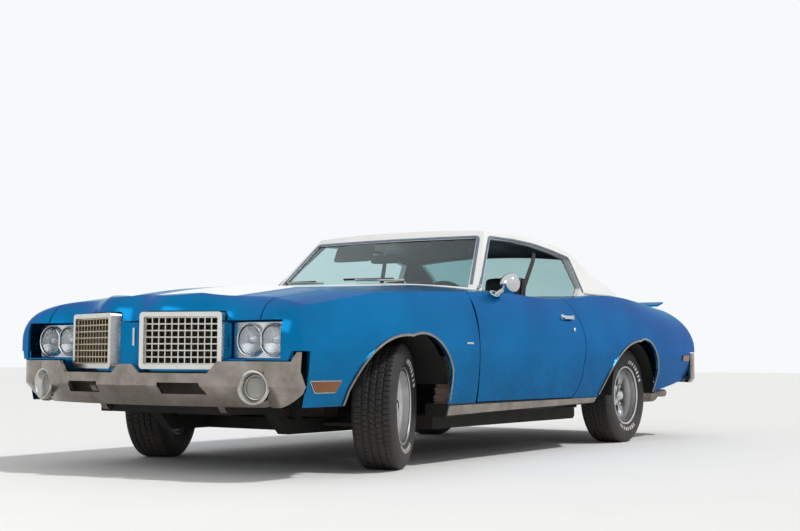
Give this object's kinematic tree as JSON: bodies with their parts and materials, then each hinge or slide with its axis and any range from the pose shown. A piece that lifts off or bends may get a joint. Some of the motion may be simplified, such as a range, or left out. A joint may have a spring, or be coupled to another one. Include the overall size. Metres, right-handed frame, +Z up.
{
  "type": "two-door muscle coupe",
  "caption": "Two-door muscle coupe with a vinyl roof, divided egg-crate grille, chrome bumpers and opening doors, hood and trunk.",
  "frame": {"origin": "centre of the bounding box in plan, at floor level under the tyres", "axes": "+X forward, +Y to the car's left, +Z up"},
  "size_m": [5.1632, 1.94, 1.3651],
  "materials": {
    "paint": "metallic blue gloss",
    "vinyl": "grained white vinyl",
    "liner": "black cloth",
    "trim_chrome": "polished",
    "weathered_chrome": "weathered",
    "glass": "tinted",
    "lamp_glass": "fluted clear",
    "red_lens": "red",
    "amber_lens": "amber",
    "underbody": "dull black",
    "dark_plastic": "satin black",
    "seat_vinyl": "black vinyl",
    "steel": "bare",
    "iron": "cast",
    "tyre": "rubber"
  },
  "bodies": {
    "body": {"front_fenders": "paint", "rear_quarters": "paint", "deck_panel": "paint", "tail_panel": "paint", "header_panel": "paint", "roof": "vinyl", "headliner": "liner", "windshield": "glass", "rear_window": "glass", "cowl_panel": "paint", "body_mouldings": "trim_chrome", "side_markers": "amber_lens", "rocker_sills": "paint", "grille_frames": "trim_chrome", "grilles": "steel", "headlamp_bezels": "trim_chrome", "headlamps": "lamp_glass", "front_bumper": "weathered_chrome", "parking_lamps": "lamp_glass", "rear_bumper": "weathered_chrome", "tail_lamps": "red_lens", "floor_pan": "underbody", "wheelhouses": "underbody", "dashboard": "dark_plastic", "steering_column": "dark_plastic", "front_seats": "seat_vinyl", "rear_seat": "seat_vinyl", "frame_rails": "underbody", "front_suspension": "steel", "rear_axle": "iron", "engine": "iron", "radiator": "underbody", "exhaust": "steel", "fuel_tank": "underbody", "hinges": "steel"},
    "door_left": {"door_left": "paint", "handle_left": "trim_chrome", "mirror_left": "trim_chrome"},
    "door_right": {"door_right": "paint", "handle_right": "trim_chrome"},
    "hood": {"hood": "paint"},
    "trunk_lid": {"trunk_lid": "paint", "spoiler": "paint"},
    "knuckle_left": {"knuckle_left": "iron"},
    "knuckle_right": {"knuckle_right": "iron"},
    "steering_wheel": {"steering_wheel": "dark_plastic"},
    "wheel_front_left": {"tyre_front_left": "tyre", "rim_front_left": "trim_chrome"},
    "wheel_front_right": {"tyre_front_right": "tyre", "rim_front_right": "trim_chrome"},
    "wheel_rear_left": {"tyre_rear_left": "tyre", "rim_rear_left": "trim_chrome"},
    "wheel_rear_right": {"tyre_rear_right": "tyre", "rim_rear_right": "trim_chrome"}
  },
  "joints": [
    {"name": "door_left_hinge", "type": "hinge", "parent": "body", "child": "door_left", "pos_m": [0.915, 0.906, 0.6], "axis": [0, 0, -1], "range_deg": [0, 65]},
    {"name": "door_right_hinge", "type": "hinge", "parent": "body", "child": "door_right", "pos_m": [0.915, -0.906, 0.6], "axis": [0, 0, 1], "range_deg": [0, 65]},
    {"name": "hood_hinge", "type": "hinge", "parent": "body", "child": "hood", "pos_m": [0.925, 0, 0.944], "axis": [0, -1, 0], "range_deg": [0, 50]},
    {"name": "trunk_hinge", "type": "hinge", "parent": "body", "child": "trunk_lid", "pos_m": [-1.672, 0, 0.955], "axis": [0, 1, 0], "range_deg": [0, 70]},
    {"name": "steer_left", "type": "hinge", "parent": "body", "child": "knuckle_left", "pos_m": [1.515, 0.69, 0.322], "axis": [0, 0, 1], "range_deg": [-55, 11]},
    {"name": "steer_right", "type": "hinge", "parent": "body", "child": "knuckle_right", "pos_m": [1.515, -0.69, 0.322], "axis": [0, 0, 1], "range_deg": [-55, 11]},
    {"name": "steering_wheel_turn", "type": "hinge", "parent": "body", "child": "steering_wheel", "pos_m": [0.24, 0.37, 0.85], "axis": [-0.9272, 0, 0.3746], "range_deg": [-900, 200]},
    {"name": "spin_front_left", "type": "hinge", "parent": "knuckle_left", "child": "wheel_front_left", "pos_m": [1.48953, 0.75305, 0.322], "axis": [-0.3746, 0.9272, 0], "continuous": true},
    {"name": "spin_front_right", "type": "hinge", "parent": "knuckle_right", "child": "wheel_front_right", "pos_m": [1.54047, -0.75305, 0.322], "axis": [-0.3746, 0.9272, 0], "continuous": true},
    {"name": "spin_rear_left", "type": "hinge", "parent": "body", "child": "wheel_rear_left", "pos_m": [-1.33, 0.7495, 0.322], "axis": [0, 1, 0], "continuous": true},
    {"name": "spin_rear_right", "type": "hinge", "parent": "body", "child": "wheel_rear_right", "pos_m": [-1.33, -0.7495, 0.322], "axis": [0, 1, 0], "continuous": true}
  ],
  "couplings": [
    {"joint": "steer_right", "follows": "steer_left", "ratio": 1},
    {"joint": "steering_wheel_turn", "follows": "steer_left", "ratio": 16}
  ]
}
